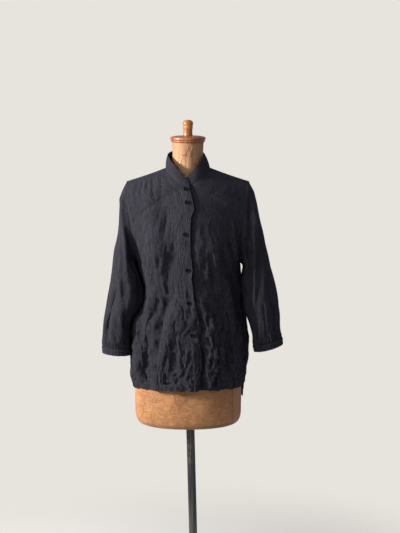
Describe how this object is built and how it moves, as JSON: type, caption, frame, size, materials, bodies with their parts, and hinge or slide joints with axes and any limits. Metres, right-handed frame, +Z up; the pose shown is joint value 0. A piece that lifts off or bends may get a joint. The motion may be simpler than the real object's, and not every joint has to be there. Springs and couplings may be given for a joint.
{
  "type": "mandarin collar shirt on a dress form with a pole stand",
  "caption": "Button-front shirt with a mandarin collar, stitched placket and three-quarter sleeves, worn by a limbless dress form on a pole with a round base.",
  "frame": {"origin": "on the floor, at the middle of the round base's underside", "axes": "+Z up, -Y is the way the shirt's front faces, +X is the wearer's left"},
  "size_m": [0.5584, 0.33, 1.5884],
  "materials": {
    "cloth": "washed charcoal plain weave with a faint violet cast, soft creases, no sheen",
    "button": "black, lightly polished",
    "form_skin": "varnished pasted paper over a moulded shell, mottled tan, worn and finely cracked",
    "cap_wood": "turned, stained reddish, satin varnish",
    "knob_wood": "turned, lighter stain, satin varnish",
    "pole_steel": "worn grey, drawn lengthways",
    "base_iron": "dark, slightly rough"
  },
  "bodies": {
    "root": {"stand_base": "base_iron", "stand_pole": "pole_steel", "form_body": "form_skin", "neck_cap": "cap_wood", "cap_knob": "knob_wood", "front_right": "cloth", "front_left": "cloth", "back": "cloth", "placket": "cloth", "collar": "cloth", "sleeve_right": "cloth", "sleeve_left": "cloth", "cuff_right": "cloth", "cuff_left": "cloth", "button_1": "button", "button_2": "button", "button_3": "button", "button_4": "button", "button_5": "button", "button_6": "button"}
  },
  "joints": []
}
